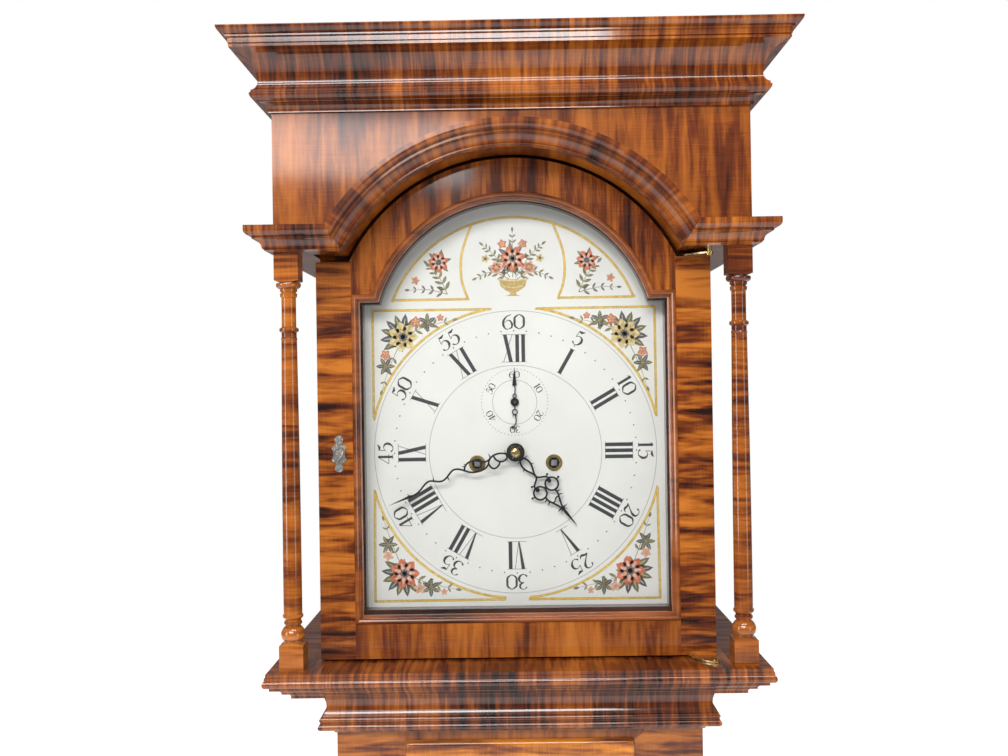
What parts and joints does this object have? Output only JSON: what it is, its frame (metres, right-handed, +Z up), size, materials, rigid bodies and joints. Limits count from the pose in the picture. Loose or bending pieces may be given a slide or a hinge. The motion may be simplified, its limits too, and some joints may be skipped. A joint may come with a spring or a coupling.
{
  "type": "longcase clock",
  "caption": "Longcase clock in figured maple: lift-off hood with arched glazed door, painted dial, trunk door, pendulum, weights on pulleys, and geared going and striking trains.",
  "frame": {"origin": "on the floor, under the middle of the clock's outline", "axes": "+X to the viewer's right, -Y towards the viewer (the dial faces -Y), +Z up"},
  "size_m": [0.564, 0.3286, 2.0995],
  "materials": {
    "maple": "figured maple, amber varnish, glossy",
    "moulded_maple": "figured maple mouldings, amber varnish, glossy",
    "dark_lip": "dark stained, satin",
    "plain_board": "unvarnished pine, matt",
    "brass": "polished",
    "blued_steel": "blackened, satin",
    "steel": "satin",
    "painted_dial": "off-white japanned paint, satin",
    "glass": "clear",
    "iron": "cast, dull",
    "gut": "gut line"
  },
  "bodies": {
    "case": {"backboard": "plain_board", "trunk_sides": "maple", "trunk_front_frame": "maple", "throat_moulding": "moulded_maple", "base_moulding": "moulded_maple", "base_panels": "maple", "bracket_feet": "maple", "seatboard": "plain_board", "trunk_door_hinges": "brass", "movement_frame": "brass", "dial_plate": "painted_dial", "winding_grommets": "brass", "back_cock": "brass", "bell": "brass", "time_line": "gut", "strike_line": "gut"},
    "trunk_door": {"trunk_door": "maple", "trunk_door_brasswork": "brass"},
    "trunk_door_turn": {"trunk_door_turn": "brass"},
    "hood": {"hood_sides": "maple", "hood_roof": "maple", "cornice": "moulded_maple", "tympanum": "maple", "frieze_sides": "maple", "entablature_moulding": "moulded_maple", "hood_columns": "moulded_maple", "hood_base": "moulded_maple", "dial_mask": "maple", "hood_hinge_pins": "brass"},
    "hood_door": {"hood_door_stiles": "maple", "hood_door_rails": "maple", "hood_door_lip": "dark_lip", "hood_door_glass": "glass", "hood_hinge_plates": "brass", "hood_door_escutcheon": "brass"},
    "hood_door_turn": {"hood_door_turn": "brass"},
    "great_wheel": {"great_wheel": "brass"},
    "time_barrel": {"time_barrel": "brass"},
    "centre_arbor": {"centre_wheel": "brass", "minute_hand": "blued_steel"},
    "minute_wheel": {"minute_wheel": "brass"},
    "hour_pipe": {"hour_wheel": "brass", "hour_hand": "blued_steel"},
    "third_arbor": {"third_wheel": "brass"},
    "escape_arbor": {"escape_wheel": "brass", "seconds_hand": "blued_steel"},
    "anchor": {"anchor": "steel"},
    "pendulum": {"pendulum": "steel", "pendulum_bob": "brass"},
    "strike_great_wheel": {"strike_great_wheel": "brass"},
    "strike_barrel": {"strike_barrel": "brass"},
    "pin_arbor": {"pin_wheel": "brass"},
    "gathering_arbor": {"gathering_wheel": "brass"},
    "warning_arbor": {"warning_wheel": "brass"},
    "fly_arbor": {"fly": "brass"},
    "hammer": {"hammer": "steel"},
    "time_weight": {"time_weight": "iron"},
    "strike_weight": {"strike_weight": "iron"},
    "time_pulley": {"time_pulley": "brass"},
    "strike_pulley": {"strike_pulley": "brass"}
  },
  "joints": [
    {"name": "hood_slide", "type": "slide", "parent": "case", "child": "hood", "axis": [0, -1, 0], "range_m": [0, 0.25]},
    {"name": "hood_door_hinge", "type": "hinge", "parent": "hood", "child": "hood_door", "pos_m": [0.198, -0.10675, 1.468], "axis": [0, 0, 1], "range_deg": [0, 95]},
    {"name": "hood_door_catch", "type": "hinge", "parent": "hood_door", "child": "hood_door_turn", "pos_m": [-0.1817, -0.084, 1.6815], "axis": [0, 1, 0], "range_deg": [0, 90]},
    {"name": "trunk_door_hinge", "type": "hinge", "parent": "case", "child": "trunk_door", "pos_m": [0.1193, -0.10415, 1], "axis": [0, 0, 1], "range_deg": [0, 105]},
    {"name": "trunk_door_catch", "type": "hinge", "parent": "trunk_door", "child": "trunk_door_turn", "pos_m": [-0.0938, -0.105, 1.0615], "axis": [0, 1, 0], "range_deg": [0, 90]},
    {"name": "centre_spin", "type": "hinge", "parent": "case", "child": "centre_arbor", "pos_m": [0, 0, 1.6787], "axis": [0, 1, 0], "continuous": true},
    {"name": "minute_wheel_spin", "type": "hinge", "parent": "case", "child": "minute_wheel", "pos_m": [0, 0, 1.6517], "axis": [0, 1, 0], "continuous": true},
    {"name": "hour_spin", "type": "hinge", "parent": "case", "child": "hour_pipe", "pos_m": [0, 0, 1.6787], "axis": [0, 1, 0], "continuous": true},
    {"name": "great_wheel_spin", "type": "hinge", "parent": "case", "child": "great_wheel", "pos_m": [0.04085, 0, 1.6666], "axis": [0, 1, 0], "continuous": true},
    {"name": "third_spin", "type": "hinge", "parent": "case", "child": "third_arbor", "pos_m": [0.014, 0, 1.7057], "axis": [0, 1, 0], "continuous": true},
    {"name": "escape_spin", "type": "hinge", "parent": "case", "child": "escape_arbor", "pos_m": [0, 0, 1.7316], "axis": [0, 1, 0], "continuous": true},
    {"name": "strike_great_spin", "type": "hinge", "parent": "case", "child": "strike_great_wheel", "pos_m": [-0.04085, 0, 1.6666], "axis": [0, 1, 0], "continuous": true},
    {"name": "pin_spin", "type": "hinge", "parent": "case", "child": "pin_arbor", "pos_m": [-0.038, 0, 1.7034], "axis": [0, 1, 0], "continuous": true},
    {"name": "gathering_spin", "type": "hinge", "parent": "case", "child": "gathering_arbor", "pos_m": [-0.024, 0, 1.7265], "axis": [0, 1, 0], "continuous": true},
    {"name": "warning_spin", "type": "hinge", "parent": "case", "child": "warning_arbor", "pos_m": [-0.042, 0, 1.7392], "axis": [0, 1, 0], "continuous": true},
    {"name": "fly_spin", "type": "hinge", "parent": "case", "child": "fly_arbor", "pos_m": [-0.05, 0, 1.7552], "axis": [0, 1, 0], "continuous": true},
    {"name": "time_barrel_turn", "type": "hinge", "parent": "case", "child": "time_barrel", "pos_m": [0.04085, 0, 1.6666], "axis": [0, 1, 0], "range_deg": [-4860, 0]},
    {"name": "time_weight_drop", "type": "slide", "parent": "case", "child": "time_weight", "axis": [0, 0, 1], "range_m": [-1.1, 0], "deforming": ["time_line"]},
    {"name": "time_pulley_turn", "type": "hinge", "parent": "time_weight", "child": "time_pulley", "pos_m": [0.0329, 0.01725, 1.5237], "axis": [0, 1, 0], "range_deg": [-3505, 0]},
    {"name": "strike_barrel_turn", "type": "hinge", "parent": "case", "child": "strike_barrel", "pos_m": [-0.04085, 0, 1.6666], "axis": [0, 1, 0], "range_deg": [-4860, 0]},
    {"name": "strike_weight_drop", "type": "slide", "parent": "case", "child": "strike_weight", "axis": [0, 0, 1], "range_m": [-1.1, 0], "deforming": ["strike_line"]},
    {"name": "strike_pulley_turn", "type": "hinge", "parent": "strike_weight", "child": "strike_pulley", "pos_m": [-0.0488, 0.01725, 1.5237], "axis": [0, 1, 0], "range_deg": [-3505, 0]},
    {"name": "hammer_lift", "type": "hinge", "parent": "case", "child": "hammer", "pos_m": [-0.066, 0, 1.7187], "axis": [0, 1, 0], "range_deg": [-12, 0], "stiffness_Nm_per_rad": 0.05, "springref_deg": 5.73},
    {"name": "pendulum_swing", "type": "hinge", "parent": "case", "child": "pendulum", "pos_m": [0, 0.06925, 1.7626], "axis": [0, 1, 0], "range_deg": [-2.5, 2.5]},
    {"name": "anchor_rock", "type": "hinge", "parent": "case", "child": "anchor", "pos_m": [0, 0, 1.7626], "axis": [0, 1, 0], "range_deg": [-2.5, 2.5]}
  ],
  "couplings": [
    {"joint": "centre_spin", "follows": "escape_spin", "ratio": 0.016667},
    {"joint": "minute_wheel_spin", "follows": "escape_spin", "ratio": -0.016667},
    {"joint": "hour_spin", "follows": "escape_spin", "ratio": 0.0013889},
    {"joint": "great_wheel_spin", "follows": "escape_spin", "ratio": -0.0013889},
    {"joint": "third_spin", "follows": "escape_spin", "ratio": -0.125},
    {"joint": "warning_spin", "follows": "fly_spin", "ratio": -0.14583},
    {"joint": "gathering_spin", "follows": "fly_spin", "ratio": 0.018229},
    {"joint": "pin_spin", "follows": "fly_spin", "ratio": -0.0022786},
    {"joint": "strike_great_spin", "follows": "fly_spin", "ratio": 0.00021701},
    {"joint": "time_barrel_turn", "follows": "time_weight_drop", "rad_per_m": 77.071},
    {"joint": "time_pulley_turn", "follows": "time_weight_drop", "rad_per_m": 55.556},
    {"joint": "strike_barrel_turn", "follows": "strike_weight_drop", "rad_per_m": 77.071},
    {"joint": "strike_pulley_turn", "follows": "strike_weight_drop", "rad_per_m": 55.556},
    {"joint": "anchor_rock", "follows": "pendulum_swing", "ratio": 1}
  ]
}
